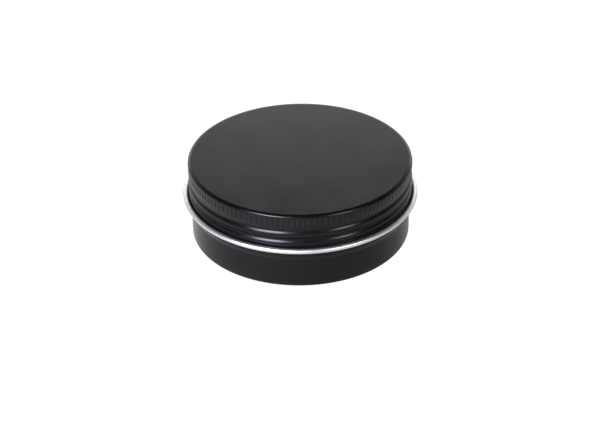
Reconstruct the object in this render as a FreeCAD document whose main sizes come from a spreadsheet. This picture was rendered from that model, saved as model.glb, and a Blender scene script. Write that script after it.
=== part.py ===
"""Round screw-top tin for shoe polish: a thin aluminium cup, a knurled screw lid with
a rolled thread and a curled hem, a foam liner in the lid and the cake of wax inside.

Millimetres, +Z up. The origin is the middle of the foot, on the surface the tin stands
on, and +Z is the tin's axis. The lid is screwed down.
"""
import FreeCAD, Part
import math
import os

import Sketcher
from FreeCAD import Placement, Rotation, Vector

SHEET = "sizes"

# Driving dimensions in millimetres, degrees for the angles, and plain counts.
SIZES = [
    ("overall_diameter", 71.0, "across the lid's curled hem"),
    ("overall_height", 25.0, "foot to lid top"),
    ("wall_thickness", 0.4, "aluminium sheet of both lid and cup"),
    ("fit_gap", 0.05, "between pieces that only touch"),
    ("shoulder_radius", 1.0, "outside rounding between lid top and side"),
    ("knurl_height", 3.1, "grip band below the shoulder"),
    ("knurl_inset", 0.1, "grip band's radius below the barrel's"),
    ("knurl_ribs", 130.0, "ribs around the lid"),
    ("knurl_depth", 0.22, "depth of the flutes between the ribs"),
    ("knurl_round", 0.6, "section radius of a flute"),
    ("skirt_depth", 11.3, "lid top down to the hem's centre line"),
    ("hem_overhang", 1.7, "barrel out to the hem's outer edge"),
    ("hem_radius", 0.78, "section radius of the curled hem"),
    ("hem_turn", 260.0, "how far round the sheet is curled"),
    ("thread_pitch", 3.0, "rise in one turn, right-handed"),
    ("thread_drop", 9.8, "lid top down to where the thread begins"),
    ("thread_depth", 0.65, "depth of the rolled groove"),
    ("thread_round", 1.0, "section radius of the lid's rolled groove"),
    ("lid_turns", 1.75, "turns of thread in the lid"),
    ("neck_turns", 1.3, "turns of thread on the neck"),
    ("neck_round", 0.85, "section radius of the neck's ridge"),
    ("neck_clearance", 0.35, "radial play between lid and neck"),
    ("side_inset", 0.75, "cup's side inside the lid's barrel"),
    ("heel_radius", 1.3, "outside rounding at the foot"),
    ("foot_width", 1.3, "flat ring that the tin stands on"),
    ("foot_step", 0.7, "height of the bottom panel above the foot"),
    ("bead_drop", 2.05, "hem's centre line down to the stop bead's middle"),
    ("bead_half", 2.0, "half the stop bead's height"),
    ("bead_rise", 0.45, "how far the stop bead stands out"),
    ("lip_radius", 0.7, "section radius of the neck's inward curl"),
    ("lip_turn", 285.0, "how far round the lip is curled"),
    ("liner_thickness", 1.2, "foam disc in the lid"),
    ("liner_inset", 1.3, "liner's edge inside the lid's barrel"),
    ("headspace", 6.3, "lip down to the top of the polish"),
]

# A 45 degree bend shifts a sheet's two faces against each other by this share of it.
MITRE = math.tan(math.radians(22.5))
# The barrel flares out at 45 degrees, so the curl begins at this angle in its section.
HEM_START = 225
AXIS = None


class Size:
    """A size that carries its value together with the sheet formula behind it."""

    def __init__(self, value, text):
        self.value = value
        self.text = text

    @staticmethod
    def of(other):
        return other if isinstance(other, Size) else Size(float(other), f"{other:.9g}")

    def __add__(self, other):
        other = Size.of(other)
        return Size(self.value + other.value, f"({self.text} + {other.text})")

    def __sub__(self, other):
        other = Size.of(other)
        return Size(self.value - other.value, f"({self.text} - {other.text})")

    def __mul__(self, other):
        other = Size.of(other)
        return Size(self.value * other.value, f"({self.text} * {other.text})")

    def __truediv__(self, other):
        other = Size.of(other)
        return Size(self.value / other.value, f"({self.text} / {other.text})")

    def cos(self):
        return Size(math.cos(math.radians(self.value)), f"cos({self.text})")

    def sin(self):
        return Size(math.sin(math.radians(self.value)), f"sin({self.text})")


def make_sheet(doc):
    """The spreadsheet of driving dimensions, and the same sizes by name."""
    sheet = doc.addObject("Spreadsheet::Sheet", SHEET)
    for row, (alias, value, meaning) in enumerate(SIZES, start=1):
        sheet.set(f"A{row}", meaning)
        sheet.set(f"B{row}", f"{value:g}")
        sheet.setAlias(f"B{row}", alias)
    doc.recompute()
    return {alias: Size(sheet.get(alias), f"{SHEET}.{alias}") for alias, _, _ in SIZES}


def bind(obj, path, size):
    """Let the sheet drive one property of an object."""
    obj.setExpression(path, size.text)


def origin_feature(body, role):
    return next(f for f in body.Origin.OriginFeatures if f.Role == role)


def new_sketch(body, name, plane):
    sketch = body.newObject("Sketcher::SketchObject", name)
    sketch.AttachmentSupport = [(origin_feature(body, plane), "")]
    sketch.MapMode = "FlatFace"
    return sketch


def constrain(sketch, kind, place, size):
    number = sketch.addConstraint(Sketcher.Constraint(kind, *place, size.value))
    bind(sketch, f"Constraints[{number}]", size)


def arc_between(start, end, radius):
    """Anticlockwise arc of under half a turn."""
    chord = end - start
    left = Vector(-chord.y, chord.x, 0).normalize()
    reach = math.sqrt(radius**2 - (chord.Length / 2) ** 2)
    crown = (start + end) * 0.5 - left * (radius - reach)
    return Part.Arc(start, crown, end)


def draw_outline(sketch, corners):
    """Closed outline through corners of (radius, height), each fixed from the origin.

    A third value makes the edge that leaves the corner an arc of that radius, positive
    for anticlockwise. AXIS as the radius puts the corner on the axis of the tin.
    """
    points = [Vector(r.value if r else 0.0, h.value, 0) for r, h, *_ in corners]
    ends = points[1:] + points[:1]
    heads = []
    for start, end, (_, _, *bend) in zip(points, ends, corners):
        # An arc is always drawn anticlockwise, so a clockwise edge is entered at its end.
        backwards = bool(bend) and bend[0].value < 0
        heads.append(2 if backwards else 1)
        if backwards:
            sketch.addGeometry(arc_between(end, start, -bend[0].value))
        elif bend:
            sketch.addGeometry(arc_between(start, end, bend[0].value))
        else:
            sketch.addGeometry(Part.LineSegment(start, end))
    for number, (radius, height, *bend) in enumerate(corners):
        place = (number, heads[number])
        before = (number - 1) % len(corners)
        tail = 3 - heads[before]
        sketch.addConstraint(Sketcher.Constraint("Coincident", before, tail, *place))
        if radius is AXIS:
            sketch.addConstraint(Sketcher.Constraint("PointOnObject", *place, -2))
        else:
            constrain(sketch, "DistanceX", (-1, 1, *place), radius)
        constrain(sketch, "DistanceY", (-1, 1, *place), height)
        if bend:
            size = bend[0]
            if size.value < 0:
                size = Size.of(0) - size
            constrain(sketch, "Radius", (number,), size)


def curl(centre, radius, start, turn, steps=4):
    """Corners of an arc around a centre, cut into steps, with the last point plain."""
    rim = []
    step = turn / steps
    bend = radius if turn.value > 0 else Size.of(0) - radius
    for number in range(steps + 1):
        angle = start + step * number
        point = (centre[0] + radius * angle.cos(), centre[1] + radius * angle.sin())
        rim.append(point if number == steps else (*point, bend))
    return rim


def revolved_body(doc, name, corners):
    """A body turned around the tin's axis from one outline in the XZ plane."""
    body = doc.addObject("PartDesign::Body", name)
    sketch = new_sketch(body, f"{name}_section", "XZ_Plane")
    draw_outline(sketch, corners)
    turned = body.newObject("PartDesign::Revolution", f"{name}_turned")
    turned.Profile = sketch
    turned.ReferenceAxis = (sketch, ["V_Axis"])
    turned.Angle = 360.0
    return body


def thread_coil(doc, name, axis_radius, section_radius, foot, pitch, turns, bearing):
    """A round bar coiled right-handed, which starts at a height and a bearing."""
    angle = Size.of(bearing)
    line = doc.addObject("Part::Helix", f"{name}_line")
    bind(line, "Radius", axis_radius)
    bind(line, "Pitch", pitch)
    bind(line, "Height", pitch * turns)
    bind(line, "Placement.Base.z", foot)
    line.Placement = Placement(Vector(0, 0, foot.value), Rotation(Vector(0, 0, 1), bearing))
    section = doc.addObject("Part::Circle", f"{name}_section")
    bind(section, "Radius", section_radius)
    upright = Rotation(Vector(1, 0, 0), 90)
    turned = Rotation(Vector(0, 0, 1), bearing)
    section.Placement = Placement(Vector(), turned.multiply(upright))
    bind(section, "Placement.Base.x", axis_radius * angle.cos())
    bind(section, "Placement.Base.y", axis_radius * angle.sin())
    bind(section, "Placement.Base.z", foot)
    coil = doc.addObject("Part::Sweep", name)
    coil.Sections = [section]
    coil.Spine = (line, [])
    coil.Solid = True
    coil.Frenet = True
    return coil


def cylinder(doc, name, radius, height):
    rod = doc.addObject("Part::Cylinder", name)
    bind(rod, "Radius", radius)
    bind(rod, "Height", height)
    return rod


def boolean(doc, kind, name, base, tool):
    made = doc.addObject(f"Part::{kind}", name)
    made.Base = base
    made.Tool = tool
    return made


def lid_sheet(doc, s):
    """The lid before its thread is rolled: top, shoulder, barrel, flare and curled hem."""
    top = s["overall_height"]
    wall = s["wall_thickness"]
    barrel = s["barrel"]
    grip = barrel - s["knurl_inset"]
    shoulder = s["shoulder_radius"]
    grip_foot = top - shoulder - s["knurl_height"]
    barrel_top = grip_foot - s["knurl_inset"] * 2
    hem = (s["overall_diameter"] / 2 - s["hem_radius"], s["hem_height"])
    start = Size.of(HEM_START)
    bend = s["hem_radius"] - wall
    flare_reach = hem[0] + bend * start.cos() - barrel
    flare_top = hem[1] + bend * start.sin() + flare_reach
    backwards = Size.of(0)
    outside = [
        (AXIS, top),
        (grip - shoulder, top, backwards - shoulder),
        (grip, top - shoulder),
        (grip, grip_foot),
        (barrel, barrel_top),
        (barrel, flare_top),
    ]
    inner_curl = curl(hem, bend, start, s["hem_turn"])
    outer_curl = curl(hem, s["hem_radius"], start + s["hem_turn"], backwards - s["hem_turn"])
    inside = [
        (barrel - wall, flare_top - wall * MITRE),
        (barrel - wall, barrel_top),
        (grip - wall, grip_foot),
        (grip - wall, top - shoulder, shoulder - wall),
        (grip - shoulder, top - wall),
        (AXIS, top - wall),
    ]
    return revolved_body(doc, "lid_sheet", outside + inner_curl + outer_curl + inside)


def knurl_tool(doc, s):
    """A ring of upright rods, one for each flute of the grip band."""
    body = doc.addObject("PartDesign::Body", "knurl_tool")
    body.AllowCompound = True
    sketch = new_sketch(body, "flute_section", "XY_Plane")
    height = s["shoulder_radius"] + s["knurl_height"]
    bind(sketch, "AttachmentOffset.Base.z", s["overall_height"] - height)
    reach = s["barrel"] - s["knurl_inset"] + s["knurl_round"] - s["knurl_depth"]
    section = Part.Circle(Vector(reach.value, 0, 0), Vector(0, 0, 1), s["knurl_round"].value)
    sketch.addGeometry(section)
    sketch.addConstraint(Sketcher.Constraint("PointOnObject", 0, 3, -1))
    constrain(sketch, "DistanceX", (-1, 1, 0, 3), reach)
    constrain(sketch, "Radius", (0,), s["knurl_round"])
    flute = body.newObject("PartDesign::Pad", "flute")
    flute.Profile = sketch
    bind(flute, "Length", height)
    flutes = body.newObject("PartDesign::PolarPattern", "flutes")
    flutes.Originals = [flute]
    flutes.Axis = (sketch, ["N_Axis"])
    flutes.Angle = 360.0
    bind(flutes, "Occurrences", s["knurl_ribs"])
    body.Tip = flutes
    return body


def make_lid(doc, s):
    """Sheet of even thickness: the groove rolled in from outside is a ridge inside."""
    axis_radius = s["barrel"] + s["thread_round"] - s["thread_depth"]
    run = (s["thread_foot"], s["thread_pitch"], s["lid_turns"], 90)
    ridge_round = s["thread_round"] + s["wall_thickness"]
    ridge_bar = thread_coil(doc, "lid_ridge_bar", axis_radius, ridge_round, *run)
    groove_bar = thread_coil(doc, "lid_groove_bar", axis_radius, s["thread_round"], *run)
    mid_wall = cylinder(
        doc, "lid_mid_wall", s["barrel"] - s["wall_thickness"] / 2, s["overall_height"]
    )
    ridge = boolean(doc, "Common", "lid_ridge", ridge_bar, mid_wall)
    ridged = boolean(doc, "Fuse", "lid_ridged", lid_sheet(doc, s), ridge)
    threaded = boolean(doc, "Cut", "lid_threaded", ridged, groove_bar)
    return boolean(doc, "Cut", "lid", threaded, knurl_tool(doc, s))


def cup_sheet(doc, s):
    """The cup before its thread is rolled: foot, side, stop bead, neck and curled lip."""
    wall = s["wall_thickness"]
    side = s["side"]
    neck = s["neck"]
    heel = s["heel_radius"]
    step = s["foot_step"]
    bead_foot = s["bead_height"] - s["bead_half"]
    bead_top = s["bead_height"] + s["bead_half"]
    neck_foot = bead_top + side - neck
    bulge = (s["bead_half"] * s["bead_half"] + s["bead_rise"] * s["bead_rise"]) / (
        s["bead_rise"] * 2
    )
    foot = side - heel - s["foot_width"]
    lip = (neck - s["lip_radius"], s["lip_top"] - s["lip_radius"])
    shift = wall * MITRE
    nothing = Size.of(0)
    outside = [
        (AXIS, step),
        (foot - step, step),
        (foot, nothing),
        (side - heel, nothing, heel),
        (side, heel),
        (side, bead_foot, bulge),
        (side, bead_top),
        (neck, neck_foot),
    ]
    outer_curl = curl(lip, s["lip_radius"], nothing, s["lip_turn"])
    inner_curl = curl(lip, s["lip_radius"] - wall, s["lip_turn"], nothing - s["lip_turn"])
    inside = [
        (neck - wall, neck_foot + shift),
        (side - wall, bead_top + shift, nothing - bulge),
        (side - wall, bead_foot),
        (side - wall, heel, wall - heel),
        (side - heel, wall),
        (foot + shift, wall),
        (foot - step + shift, step + wall),
        (AXIS, step + wall),
    ]
    return revolved_body(doc, "cup_sheet", outside + outer_curl + inner_curl + inside)


def make_cup(doc, s):
    """The neck's ridge is rolled out from inside, so the sheet stays as thin there."""
    body = cup_sheet(doc, s)
    wall = s["wall_thickness"]
    axis_radius = s["barrel"] - wall - s["neck_clearance"] - s["neck_round"]
    run = (s["thread_foot"], s["thread_pitch"], s["neck_turns"], 270)
    ridge_bar = thread_coil(doc, "neck_ridge_bar", axis_radius, s["neck_round"], *run)
    groove_bar = thread_coil(doc, "neck_groove_bar", axis_radius, s["neck_round"] - wall, *run)
    mid_wall = cylinder(doc, "neck_mid_wall", s["neck"] - wall / 2, s["overall_height"])
    ridge = boolean(doc, "Cut", "neck_ridge", ridge_bar, mid_wall)
    ridged = boolean(doc, "Fuse", "cup_ridged", body, ridge)
    return boolean(doc, "Cut", "base_cup", ridged, groove_bar)


def make_liner(doc, s):
    """Foam disc under the lid's top, which seals on the cup's lip."""
    liner = cylinder(doc, "lid_liner", s["barrel"] - s["liner_inset"], s["liner_thickness"])
    bind(liner, "Placement.Base.z", s["lip_top"] + s["fit_gap"])
    return liner


def make_polish(doc, s):
    """Cake of wax cast in the cup, up to a headspace below the lip."""
    gap = s["wall_thickness"] + s["fit_gap"]
    side = s["side"]
    heel = s["heel_radius"]
    step = s["foot_step"]
    foot = side - heel - s["foot_width"] + gap * MITRE
    neck_foot = s["bead_height"] + s["bead_half"] + side - s["neck"] + gap * MITRE
    surface = s["lip_top"] - s["headspace"]
    corners = [
        (AXIS, step + gap),
        (foot - step, step + gap),
        (foot, gap),
        (side - heel, gap, heel - gap),
        (side - gap, heel),
        (side - gap, neck_foot - side + s["neck"]),
        (s["neck"] - gap, neck_foot),
        (s["neck"] - gap, surface),
        (AXIS, surface),
    ]
    return revolved_body(doc, "polish", corners)


def derive(s):
    """Radii and heights that several pieces share."""
    s["barrel"] = s["overall_diameter"] / 2 - s["hem_overhang"]
    s["side"] = s["barrel"] - s["side_inset"]
    ridge_tip = s["barrel"] - s["thread_depth"] - s["wall_thickness"]
    s["neck"] = ridge_tip - s["neck_clearance"]
    s["hem_height"] = s["overall_height"] - s["skirt_depth"]
    s["thread_foot"] = s["overall_height"] - s["thread_drop"]
    s["bead_height"] = s["hem_height"] - s["bead_drop"]
    liner_room = s["liner_thickness"] + s["fit_gap"] * 2
    s["lip_top"] = s["overall_height"] - s["wall_thickness"] - liner_room


def check(doc, parts):
    """Stop before anything is written if a feature failed or a shape isn't sound."""
    failed = [o.Name for o in doc.Objects if {"Invalid", "Error"} & set(o.State)]
    if failed:
        raise RuntimeError(f"failed features: {failed}")
    for part in parts:
        shape = part.Shape
        if shape.isNull() or not shape.isValid() or len(shape.Solids) != 1:
            raise RuntimeError(f"{part.Label} isn't one sound solid")
        box = shape.BoundBox
        print(
            f"{part.Label}: {shape.Volume:.1f} mm3, {len(shape.Faces)} faces, "
            f"x {box.XMin:.2f} to {box.XMax:.2f}, z {box.ZMin:.2f} to {box.ZMax:.2f}"
        )


def main():
    doc = FreeCAD.newDocument("shoe_polish_tin")
    sizes = make_sheet(doc)
    derive(sizes)
    parts = [
        make_cup(doc, sizes),
        make_polish(doc, sizes),
        make_liner(doc, sizes),
        make_lid(doc, sizes),
    ]
    doc.recompute()
    check(doc, parts)
    os.makedirs("parts", exist_ok=True)
    for part in parts:
        part.Shape.exportStep(f"parts/{part.Label}.step")


main()
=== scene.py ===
"""Looks of the round screw-top shoe polish tin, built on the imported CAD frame.

Metres, +Z up, the tin's axis on Z and its foot at the origin. The camera side is -Y. Each
pressing is one thin sheet swept round the axis: its outer face is drawn row by row, and
its inner face is that face moved in by the sheet's thickness.
"""
import math

import bpy
import numpy as np
from mathutils import Matrix, Vector


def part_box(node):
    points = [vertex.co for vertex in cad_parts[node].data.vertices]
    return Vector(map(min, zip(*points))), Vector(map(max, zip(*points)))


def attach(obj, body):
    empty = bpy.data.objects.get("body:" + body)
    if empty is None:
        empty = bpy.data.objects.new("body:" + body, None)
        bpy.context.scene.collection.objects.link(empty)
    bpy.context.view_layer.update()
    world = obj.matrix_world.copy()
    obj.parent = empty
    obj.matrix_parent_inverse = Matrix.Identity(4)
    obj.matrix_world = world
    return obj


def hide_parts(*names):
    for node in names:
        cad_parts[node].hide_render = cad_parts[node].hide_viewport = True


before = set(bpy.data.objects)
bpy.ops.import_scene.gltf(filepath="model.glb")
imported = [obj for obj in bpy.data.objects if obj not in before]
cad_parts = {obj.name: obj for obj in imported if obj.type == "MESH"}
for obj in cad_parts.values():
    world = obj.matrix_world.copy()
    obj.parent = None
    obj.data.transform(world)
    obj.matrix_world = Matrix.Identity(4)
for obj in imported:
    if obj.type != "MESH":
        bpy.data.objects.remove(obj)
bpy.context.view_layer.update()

MM = 0.001
SHEET = 0.4 * MM  # thickness of both pressings
PITCH = 3.0 * MM  # of the thread rolled into the lid and the cup's neck
RIBS = 130  # round the knurled grip band
STEPS_PER_RIB = 6
HEM_RADIUS = 0.78 * MM  # outside of the curl at the lid's rim
OVERHANG = 1.7 * MM  # from the lid's barrel out to its rim
CUP_COLUMNS = 480
LINER_COLUMNS = 256
POLISH_COLUMNS = 360
LACQUER_SLOT = 0
METAL_SLOT = 1


# Row arithmetic ------------------------------------------------------------------------


def smooth(start, end, values):
    """0 before start, 1 past end, and an even S between. The ends may be swapped."""
    share = np.clip((values - start) / (end - start), 0.0, 1.0)
    return share * share * (3.0 - 2.0 * share)


def azimuths(count):
    """Angles round the axis, counted from the camera side, anticlockwise from above."""
    return np.linspace(-math.pi, math.pi, count, endpoint=False)


def arc(centre, radius, start, end, count):
    """Points of (radius, height) along an arc, angles in degrees."""
    angles = np.radians(np.linspace(start, end, count))
    return [(centre[0] + radius * math.cos(a), centre[1] + radius * math.sin(a)) for a in angles]


def run(start, end, count):
    """Points of (radius, height) along a straight run, without its last point."""
    shares = np.linspace(0.0, 1.0, count, endpoint=False)
    return [tuple((1 - s) * a + s * b for a, b in zip(start, end)) for s in shares]


def spread(points, count):
    """Points of (radius, height) as arrays with one column for each azimuth."""
    rows = np.array(points)
    return np.repeat(rows[:, :1], count, axis=1), np.repeat(rows[:, 1:], count, axis=1)


def inner_face(radii, heights, thickness):
    """The sheet's other face: each row moved in along its own normal."""
    along_r = np.gradient(radii, axis=0)
    along_z = np.gradient(heights, axis=0)
    length = np.hypot(along_r, along_z)
    inner_r = radii + thickness * along_z / length
    inner_z = heights - thickness * along_r / length
    inner_r[0] = radii[0]
    return inner_r, inner_z


def swept_piece(name, radii, heights, slots, materials, painted_rib_light=None):
    """A closed mesh from rows swept round the axis. The first and last row lie on it.

    slots gives each band between two rows its material's number. The last argument gives
    each point's share of painted light on the knurl's ribs, from 0 to 1: the crests are painted
    lighter than the flutes, for the shade in the flutes.
    """
    rows, columns = radii.shape
    angles = azimuths(columns)
    x = radii * np.sin(angles)
    y = -radii * np.cos(angles)
    ring = np.stack([x, y, heights], axis=2)[1:-1].reshape(-1, 3)
    poles = [(0.0, 0.0, heights[0, 0]), (0.0, 0.0, heights[-1, 0])]
    points = np.vstack([ring, poles])
    here = np.arange(columns)
    after = (here + 1) % columns
    faces = []
    kinds = []
    for row in range(rows - 3):
        a = row * columns
        b = a + columns
        faces += np.stack([a + here, b + here, b + after, a + after], axis=1).tolist()
        kinds += [slots[row + 1]] * columns
    top = len(ring)
    last = (rows - 3) * columns
    faces += [(top, h, n) for h, n in zip(here.tolist(), after.tolist())]
    kinds += [slots[0]] * columns
    faces += [(top + 1, last + n, last + h) for h, n in zip(here.tolist(), after.tolist())]
    kinds += [slots[-1]] * columns
    mesh = bpy.data.meshes.new(name)
    mesh.from_pydata(points.tolist(), [], faces)
    mesh.polygons.foreach_set("use_smooth", [True] * len(faces))
    for material in materials:
        mesh.materials.append(material)
    mesh.polygons.foreach_set("material_index", kinds)
    # Stores the painted light on the knurl's ribs as a point attribute.
    if painted_rib_light is not None:
        values = np.append(painted_rib_light[1:-1].ravel(), (0.0, 0.0))
        mesh.attributes.new("painted_rib_light", "FLOAT", "POINT").data.foreach_set("value", values)
    mesh.update()
    piece = bpy.data.objects.new(name, mesh)
    bpy.context.collection.objects.link(piece)
    return piece


# Node helpers --------------------------------------------------------------------------


class Nodes:
    """Short hand for one material's node tree."""

    def __init__(self, name):
        self.material = bpy.data.materials.new(name)
        self.material.use_nodes = True
        self.tree = self.material.node_tree
        self.shader = self.tree.nodes["Principled BSDF"]

    def add(self, kind, inputs=None, **settings):
        node = self.tree.nodes.new(kind)
        for key, value in settings.items():
            setattr(node, key, value)
        for key, value in (inputs or {}).items():
            if isinstance(value, bpy.types.NodeSocket):
                self.tree.links.new(value, node.inputs[key])
            else:
                node.inputs[key].default_value = value
        return node

    def math(self, operation, first, second=0.0):
        return self.add("ShaderNodeMath", {0: first, 1: second}, operation=operation).outputs[0]

    def object_point(self):
        return self.add("ShaderNodeTexCoord").outputs["Object"]

    def noise(self, vector, scale, detail=2.0, roughness=0.5):
        inputs = {"Vector": vector, "Scale": scale, "Detail": detail, "Roughness": roughness}
        return self.add("ShaderNodeTexNoise", inputs).outputs["Fac"]

    def span(self, value, low, high, start=0.3, end=0.7):
        """Stretch a noise value from start..end onto low..high."""
        inputs = {"Value": value, 1: start, 2: end, 3: low, 4: high}
        return self.add("ShaderNodeMapRange", inputs).outputs[0]

    def mix(self, share, first, second):
        """Blend two colours, each either a constant or another node's output."""
        node = self.add("ShaderNodeMix", {"Factor": share}, data_type="RGBA")
        for key, colour in (("A", first), ("B", second)):
            if isinstance(colour, bpy.types.NodeSocket):
                self.tree.links.new(colour, node.inputs[key])
            else:
                node.inputs[key].default_value = (*colour, 1.0)
        return node.outputs["Result"]

    def turned_point(self, around, across):
        """Object point as (angle, radius, height), stretched for marks that run round."""
        split = self.add("ShaderNodeSeparateXYZ", {0: self.object_point()})
        x, y, z = split.outputs
        angle = self.math("ARCTAN2", y, x)
        radius = self.math("SQRT", self.math("ADD", self.math("MULTIPLY", x, x),
                                             self.math("MULTIPLY", y, y)))
        inputs = {
            0: self.math("MULTIPLY", angle, around),
            1: self.math("MULTIPLY", radius, across),
            2: self.math("MULTIPLY", z, across),
        }
        return self.add("ShaderNodeCombineXYZ", inputs).outputs[0]

    def bump(self, height, distance, strength=1.0):
        inputs = {"Height": height, "Distance": distance, "Strength": strength}
        self.link("Normal", self.add("ShaderNodeBump", inputs).outputs[0])

    def link(self, socket, value):
        self.tree.links.new(value, self.shader.inputs[socket])

    def set(self, **values):
        for key, value in values.items():
            self.shader.inputs[key.replace("_", " ")].default_value = value


# Materials -----------------------------------------------------------------------------


def lacquer():
    """Satin black stoving lacquer: a fine flat grain with faint drifts in its gloss.

    The knurl's ribs are painted a shade lighter than its flutes: painted shade in the flutes.
    """
    n = Nodes("black_lacquer")
    point = n.object_point()
    drift = n.noise(point, 90.0, 3.0)
    grain = n.noise(point, 5200.0, 2.0, 0.6)
    deep = (0.0026, 0.0026, 0.0028)
    soft = (0.0036, 0.0036, 0.0039)
    # Painted shade: the knurl's ribs get a lighter black than its flutes, standing in for the
    # shade that falls in the flutes.
    lit_rib_black = (0.0079, 0.0079, 0.0082)
    black = n.mix(n.span(drift, 0.0, 1.0), deep, soft)
    painted_rib_light = n.add("ShaderNodeAttribute", attribute_name="painted_rib_light").outputs["Fac"]
    n.link("Base Color", n.mix(painted_rib_light, black, lit_rib_black))
    n.link("Roughness", n.span(drift, 0.22, 0.27))
    n.set(Specular_IOR_Level=0.22)
    n.bump(grain, 0.004 * MM)
    return n.material


def bare_aluminium():
    """Rolled sheet with fine drawing marks that run round the pressing."""
    n = Nodes("bare_aluminium")
    marks = n.noise(n.turned_point(3.0, 4200.0), 1.0, 3.0, 0.65)
    dull = (0.74, 0.74, 0.73)
    bright = (0.84, 0.84, 0.835)
    n.link("Base Color", n.mix(n.span(marks, 0.0, 1.0), dull, bright))
    n.link("Roughness", n.span(marks, 0.44, 0.36))
    n.set(Metallic=1.0)
    n.bump(marks, 0.006 * MM)
    return n.material


def foam():
    """White closed-cell foam: tiny round cells under a soft skin."""
    n = Nodes("white_foam")
    point = n.object_point()
    inputs = {"Vector": point, "Scale": 2600.0}
    cells = n.add("ShaderNodeTexVoronoi", inputs, feature="SMOOTH_F1").outputs["Distance"]
    # Painted shade: the dips of the cells get a darker white than the skin between them,
    # following the bump.
    shaded_dip_white = (0.72, 0.72, 0.71)
    skin = (0.80, 0.80, 0.79)
    n.link("Base Color", n.mix(n.span(cells, 0.0, 1.0, 0.1, 0.7), shaded_dip_white, skin))
    n.link("Roughness", n.span(n.noise(point, 300.0), 0.62, 0.78))
    n.set(Subsurface_Weight=0.15, Subsurface_Scale=0.5 * MM, Specular_IOR_Level=0.35)
    n.bump(cells, 0.05 * MM)
    return n.material


def wax():
    """Black polish: a dense wax with a soft sheen and a faint bloom in patches."""
    n = Nodes("black_wax")
    point = n.object_point()
    bloom = n.noise(point, 120.0, 4.0, 0.6)
    fine = n.noise(point, 1500.0, 3.0, 0.55)
    fresh = (0.010, 0.010, 0.012)
    bloomed = (0.020, 0.020, 0.023)
    n.link("Base Color", n.mix(n.span(bloom, 0.0, 1.0), fresh, bloomed))
    n.link("Roughness", n.span(bloom, 0.26, 0.42))
    n.set(Specular_IOR_Level=0.42, Coat_Weight=0.15, Coat_Roughness=0.2)
    n.bump(fine, 0.012 * MM)
    return n.material


# Pieces --------------------------------------------------------------------------------


def lid_rows(columns):
    """The lid's outer face, from the middle of its top to the cut edge inside the hem.

    Also each point's painted light on the knurl's ribs, and the number of rows above the hem.
    """
    box_low, box_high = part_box("lid")
    top = box_high.z
    hem_drop = 0.08 * MM
    hem = (box_high.x - HEM_RADIUS, box_low.z + HEM_RADIUS - hem_drop)
    barrel = box_high.x - OVERHANG
    shoulder = 1.0 * MM
    grip_foot = top - 4.1 * MM
    hem_start, hem_end = 225, 508
    hem_bend = HEM_RADIUS - SHEET
    flare_bend = 0.72 * MM
    flare_end = arc(hem, hem_bend, hem_start, hem_start, 1)[0]
    flare_top = flare_end[1] + flare_end[0] - barrel + 0.3 * MM

    flat = barrel - shoulder
    points = [(flat * share, top) for share in (0.0, 0.35, 0.7, 0.93, 0.99)]
    points += arc((flat, top - shoulder), shoulder, 90, 0, 10)[:-1]
    points += run((barrel, top - shoulder), (barrel, grip_foot), 11)
    grip_rows = len(points)
    points += run((barrel, grip_foot), (barrel, flare_top), 31)
    points += arc((barrel + flare_bend, flare_top), flare_bend, 180, hem_start, 5)[:-1]
    barrel_rows = len(points)
    points += arc(hem, hem_bend, hem_start, hem_end, 19)
    radii, heights = spread(points, columns)
    turn = azimuths(columns)[None, :]

    # The knurl: round ribs that fade out under the shoulder and above the band's foot.
    rib_depth = 0.17 * MM
    ribs = 0.5 - 0.5 * np.cos(turn * RIBS)
    band = smooth(top - 0.75 * MM, top - 1.6 * MM, heights)
    band *= smooth(grip_foot, grip_foot + 0.8 * MM, heights)
    band[grip_rows:] = 0.0
    radii -= rib_depth * (1.0 - ribs**0.8) * band
    # Painted shade: the ribs' crests are painted lighter than the flutes, for the shade in the
    # flutes.
    painted_rib_light = ribs * band

    # The thread: a groove that climbs one pitch a turn, with whole laps at its bottom.
    # There is none above lap 1, whose upper side is gentler where easing is above 1, and
    # last_lap fades it out round the back.
    groove_depth = 0.52 * MM
    first_groove = hem[1] + 3.16 * MM
    lap = (heights - first_groove) / PITCH - turn / (2 * math.pi)
    above = np.maximum(lap - 1.0, 0.0)
    easing = 1.0 + smooth(-3.0, -1.9, turn)
    lap = np.where(above > 0.0, np.minimum(above / easing, 0.5), lap)
    wave = (0.5 + 0.5 * np.cos(2 * math.pi * lap)) ** 1.6
    last_lap = np.where((above > 0.0) | (lap > 0.5), smooth(3.0, 1.8, turn), 1.0)
    window = smooth(hem[1] + 0.7 * MM, hem[1] + 1.4 * MM, heights)
    window *= smooth(top - 1.0 * MM, top - 2.0 * MM, heights)
    window[barrel_rows:] = 0.0
    radii -= groove_depth * wave * window * last_lap
    return radii, heights, painted_rib_light, barrel_rows


def make_lid(lacquered, bare):
    """Lacquered outside and bare inside, so the hem shows the sheet's bare face."""
    outer_r, outer_z, painted_rib_light, barrel_rows = lid_rows(RIBS * STEPS_PER_RIB)
    inner_r, inner_z = inner_face(outer_r, outer_z, SHEET)
    kept = np.r_[0:barrel_rows:2, barrel_rows : len(inner_r)]
    inner_r, inner_z = inner_r[kept], inner_z[kept]
    radii = np.vstack([outer_r, inner_r[::-1]])
    heights = np.vstack([outer_z, inner_z[::-1]])
    slots = [LACQUER_SLOT] * (len(outer_r) - 1) + [METAL_SLOT] * len(inner_r)
    # The inner face gets none of the painted light on the knurl's ribs.
    painted_rib_light = np.vstack([painted_rib_light, np.zeros_like(inner_r)])
    return swept_piece("lid_shell", radii, heights, slots, [lacquered, bare], painted_rib_light)


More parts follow.
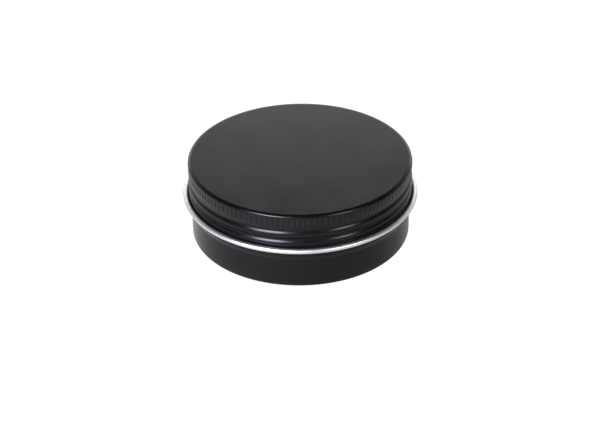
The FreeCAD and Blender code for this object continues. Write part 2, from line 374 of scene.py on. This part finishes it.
def cup_rows(columns):
    """The cup's outer face, from the middle of the bottom up to the curled lip's end."""
    box_low, box_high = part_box("base_cup")
    lid_low, lid_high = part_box("lid")
    barrel = lid_high.x - OVERHANG
    side = barrel - 0.75 * MM
    neck = barrel - 1.4 * MM
    hem_height = lid_low.z + HEM_RADIUS
    bead_height = hem_height - 2.05 * MM
    bead_half = 2.0 * MM
    bead_rise = box_high.x - side
    heel = 1.3 * MM
    foot = side - 2 * heel
    step = 0.7 * MM
    step_bend = 0.4 * MM
    lip_radius = 0.7 * MM
    lip = (neck - lip_radius, box_high.z - lip_radius)
    neck_foot = bead_height + bead_half + side - neck
    neck_start = (neck, neck_foot + 0.3 * MM)

    points = [((foot - step) * share, step) for share in (0.0, 0.35, 0.7, 0.9, 0.97)]
    points += arc((foot - step - 0.3 * MM, step - step_bend), step_bend, 90, 45, 4)
    points += run((foot - 0.35 * MM, 0.28 * MM), (foot - 0.1 * MM, 0.06 * MM), 2)
    points += run((foot, 0.0), (side - heel, 0.0), 3)
    points += arc((side - heel, heel), heel, -90, 0, 10)[:-1]
    points += run((side, heel), (side, bead_height - bead_half - 0.3 * MM), 3)
    for share in np.linspace(-1.15, 1.15, 14):
        swell = max(1.0 - share * share, 0.0)
        points.append((side + bead_rise * swell, bead_height + bead_half * share))
    points += run((side - 0.02 * MM, bead_height + 1.2 * bead_half), neck_start, 3)
    points += run(neck_start, (neck, lip[1]), 38)
    neck_rows = len(points)
    points += arc(lip, lip_radius, 0, 285, 16)
    radii, heights = spread(points, columns)

    # The thread: one ridge that climbs the neck and tapers off at both ends.
    thread_foot = hem_height + 1.5 * MM
    turns = 1.3
    taper = 0.05
    half_width = 0.95 * MM
    ridge = np.zeros_like(radii)
    for lap in range(3):
        along = azimuths(columns)[None, :] / (2 * math.pi) + lap
        offset = heights - thread_foot - PITCH * along
        bump = 0.5 + 0.5 * np.cos(np.clip(offset / half_width, -1.0, 1.0) * math.pi)
        ridge += bump * smooth(0.0, taper, along) * smooth(turns, turns - taper, along)
    ridge[neck_rows:] = 0.0
    ridge *= smooth(neck_foot + 0.2 * MM, neck_foot + 0.6 * MM, heights)
    radii += 0.65 * MM * ridge
    return radii, heights


def make_cup(lacquered, bare):
    """Lacquered outside and bare inside, with the inner face run back to the middle."""
    outer_r, outer_z = cup_rows(CUP_COLUMNS)
    inner_r, inner_z = inner_face(outer_r[::-1], outer_z[::-1], SHEET)
    inner_r[0] = inner_r[1]
    inner_r[-1] = 0.0
    radii = np.vstack([outer_r, inner_r])
    heights = np.vstack([outer_z, inner_z])
    slots = [LACQUER_SLOT] * (len(outer_r) - 1) + [METAL_SLOT] * len(inner_r)
    return swept_piece("cup_shell", radii, heights, slots, [lacquered, bare])


def make_liner(material):
    """Foam disc with softened edges and the ring that the cup's lip presses into it."""
    low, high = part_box("lid_liner")
    edge = high.x
    rounding = 0.25 * MM
    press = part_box("base_cup")[1].x - 1.8 * MM
    press_half = 0.75 * MM
    press_depth = 0.14 * MM
    points = [(edge * share, high.z) for share in (0.0, 0.3, 0.6, 0.9)]
    points += arc((edge - rounding, high.z - rounding), rounding, 90, 0, 5)
    points += arc((edge - rounding, low.z + rounding), rounding, 0, -90, 5)
    for share in np.linspace(-1.0, 1.0, 15)[::-1]:
        dent = press_depth * math.cos(share * math.pi / 2) ** 2
        points.append((press + share * press_half, low.z + dent))
    points += [(edge * share, low.z) for share in (0.9, 0.6, 0.3, 0.0)]
    radii, heights = spread(points, LINER_COLUMNS)
    return swept_piece("liner_disc", radii, heights, [0] * (len(points) - 1), [material])


def make_polish(material):
    """Cast cake: a smooth dished top that climbs a little where it wets the wall."""
    low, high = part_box("polish")
    widest = high.x
    neck = widest - 0.65 * MM
    surface = high.z - 0.5 * MM
    climb = 0.5 * MM
    climb_reach = 0.8 * MM
    dish_depth = 0.35 * MM
    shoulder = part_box("lid")[0].z + 0.92 * MM
    heel = 0.85 * MM
    recess = 0.7 * MM

    shares = np.concatenate([np.linspace(0.0, 0.92, 24), np.linspace(0.93, 1.0, 14)])
    points = []
    for share in shares:
        wetting = climb * math.exp((share - 1.0) * neck / climb_reach)
        dish = dish_depth * (share**2 - 1.0)
        points.append((neck * share, surface + wetting + dish))
    points += run((neck, high.z - 0.3 * MM), (neck, shoulder + 0.5 * MM), 4)
    points += run((neck, shoulder + 0.5 * MM), (widest, shoulder), 3)
    points += run((widest, shoulder), (widest, low.z + 1.0 * MM), 4)
    points += arc((widest - heel, low.z + heel), heel, 0, -90, 6)
    points += [(widest - 1.96 * MM, low.z), (widest - 2.66 * MM, low.z + recess)]
    points += [(0.0, low.z + recess)]
    radii, heights = spread(points, POLISH_COLUMNS)

    turn = azimuths(POLISH_COLUMNS)[None, :]
    top_rows = len(shares)
    reach = radii[:top_rows] / neck
    ripple = np.sin(3 * turn + 9 * reach) * 0.05 + np.sin(5 * turn - 14 * reach + 1.3) * 0.03
    heights[:top_rows] += MM * ripple * reach * (1.0 - reach**6)
    return swept_piece("polish_cake", radii, heights, [0] * (len(points) - 1), [material])


# Studio --------------------------------------------------------------------------------


def ramp(tree, source, stops):
    """Grey levels that ease from stop to stop."""
    node = tree.nodes.new("ShaderNodeValToRGB")
    node.color_ramp.interpolation = "EASE"
    while len(node.color_ramp.elements) < len(stops):
        node.color_ramp.elements.new(0.5)
    for element, (place, level) in zip(node.color_ramp.elements, stops):
        element.position = place
        element.color = (level, level, level, 1.0)
    tree.links.new(source, node.inputs[0])
    return node.outputs[0]


def make_floor():
    """A floor that looks white, with a softer glow in what the tin reflects of it."""
    mesh = bpy.data.meshes.new("floor")
    reach = 6.0
    corners = [(-reach, -reach, 0), (reach, -reach, 0), (reach, reach, 0), (-reach, reach, 0)]
    mesh.from_pydata(corners, [], [(0, 1, 2, 3)])
    floor = bpy.data.objects.new("floor", mesh)
    bpy.context.collection.objects.link(floor)
    n = Nodes("floor_sweep")
    n.set(Base_Color=(0.1, 0.1, 0.1, 1.0), Roughness=0.9, Specular_IOR_Level=0.0)
    n.set(Emission_Color=(1.0, 1.0, 1.0, 1.0))
    split = n.add("ShaderNodeSeparateXYZ", {0: n.object_point()})

    # The glow from left to right of the tin, as shares of the way across.
    left, right = -0.1, 0.1
    glow = [(0.1, 0.66), (0.33, 0.80), (0.42, 0.84), (0.57, 0.51), (0.9, 0.52)]
    inputs = {"Value": split.outputs[0], 1: left, 2: right}
    across = n.add("ShaderNodeMapRange", inputs).outputs[0]

    # It rises a little in front of the tin.
    near, nearer, gain = -0.042, -0.068, 1.25
    inputs = {"Value": split.outputs[1], 1: near, 2: nearer, 3: 1.0, 4: gain}
    rise = n.add("ShaderNodeMapRange", inputs, interpolation_type="SMOOTHSTEP").outputs[0]
    bounce = n.math("MULTIPLY", ramp(n.tree, across, glow), rise)
    seen = n.add("ShaderNodeLightPath").outputs["Is Camera Ray"]
    n.link("Emission Strength", n.math("MAXIMUM", seen, bounce))
    mesh.materials.append(n.material)


def make_world():
    """A sweep that is bright at the horizon and up behind the tin, and dark overhead.

    The camera sees it plain white, as it does the floor.
    """
    world = bpy.data.worlds.new("studio")
    bpy.context.scene.world = world
    world.use_nodes = True
    tree = world.node_tree
    add = tree.nodes.new
    link = tree.links.new
    split = add("ShaderNodeSeparateXYZ")
    link(add("ShaderNodeTexCoord").outputs["Generated"], split.inputs[0])

    def by_elevation(*stops):
        """Grey levels at elevations in degrees."""
        places = [(math.sin(math.radians(degrees)), level) for degrees, level in stops]
        return ramp(tree, split.outputs[2], places)

    behind = by_elevation((0, 0.55), (12, 0.8), (25, 0.9), (33, 0.3), (50, 0.04))
    front = by_elevation((0, 0.5), (4, 0.05), (60, 0.03), (90, 0.03))
    backwards = add("ShaderNodeMapRange")
    backwards.inputs[1].default_value = 0.0
    backwards.inputs[2].default_value = 0.55
    link(split.outputs[1], backwards.inputs[0])
    sweep = add("ShaderNodeMix")
    sweep.data_type = "RGBA"
    link(backwards.outputs[0], sweep.inputs["Factor"])
    link(front, sweep.inputs["A"])
    link(behind, sweep.inputs["B"])
    seen = add("ShaderNodeMix")
    seen.data_type = "RGBA"
    link(add("ShaderNodeLightPath").outputs["Is Camera Ray"], seen.inputs["Factor"])
    link(sweep.outputs["Result"], seen.inputs["A"])
    seen.inputs["B"].default_value = (1.0, 1.0, 1.0, 1.0)
    link(seen.outputs["Result"], tree.nodes["Background"].inputs[0])


def softbox(name, azimuth, elevation, width, height, radiance, colour):
    """A rectangular softbox aimed at the tin, with its sides in metres.

    Both angles are in degrees, and the azimuth counts from the camera side.
    """
    distance = 0.8
    light = bpy.data.lights.new(name, "AREA")
    light.shape = "RECTANGLE"
    light.size = width
    light.size_y = height
    light.color = colour
    light.energy = radiance * math.pi * width * height
    a, e = math.radians(azimuth), math.radians(elevation)
    way = Vector((math.sin(a) * math.cos(e), -math.cos(a) * math.cos(e), math.sin(e)))
    lamp = bpy.data.objects.new(name, light)
    lamp.location = way * distance
    lamp.rotation_euler = way.to_track_quat("Z", "Y").to_euler()
    bpy.context.collection.objects.link(lamp)


def make_camera():
    """Long lens, looking down at the lid, with the tin a little above the centre.

    aside, below and roll turn the camera a little off its aim at the tin.
    """
    elevation = math.radians(31.42)
    distance = 0.6495
    target = Vector((0.0, 0.0, 0.01217))
    aside = math.radians(0.017)
    below = math.radians(0.553)
    roll = math.radians(0.72)
    back = Vector((0.0, -math.cos(elevation), math.sin(elevation)))
    right = Vector((1.0, 0.0, 0.0))
    up = back.cross(right)

    axes = Matrix((right, up, back)).transposed()
    axes = Matrix.Rotation(aside, 3, up) @ axes
    axes = Matrix.Rotation(-below, 3, axes.col[0]) @ axes
    axes = Matrix.Rotation(roll, 3, -axes.col[2]) @ axes

    camera = bpy.data.objects.new("camera", bpy.data.cameras.new("camera"))
    camera.data.lens = 128.2
    camera.data.sensor_width = 36.0
    camera.matrix_world = Matrix.Translation(target + back * distance) @ axes.to_4x4()
    bpy.context.collection.objects.link(camera)
    bpy.context.scene.camera = camera


# Assembly ------------------------------------------------------------------------------

lacquered = lacquer()
bare_metal = bare_aluminium()
foam_white = foam()
black_wax = wax()

pieces = [
    (make_lid(lacquered, bare_metal), "lid", "lid", "black_lacquer"),
    (make_cup(lacquered, bare_metal), "base", "base_cup", "black_lacquer"),
    (make_liner(foam_white), "liner", "lid_liner", "foam"),
    (make_polish(black_wax), "base", "polish", "wax"),
]
for piece, body, node, finish in pieces:
    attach(piece, body)
    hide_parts(node)

make_floor()
make_world()
softbox("left_softbox", -32, 29, 0.34, 0.28, 41.0, (0.80, 0.82, 1.0))
softbox("right_softbox", 42, 29, 0.22, 0.28, 12.5, (0.97, 0.96, 1.0))
softbox("back_card", 180, 19, 1.2, 0.25, 2.2, (1.0, 1.0, 1.0))
make_camera()
bpy.context.scene.view_settings.view_transform = "Standard"
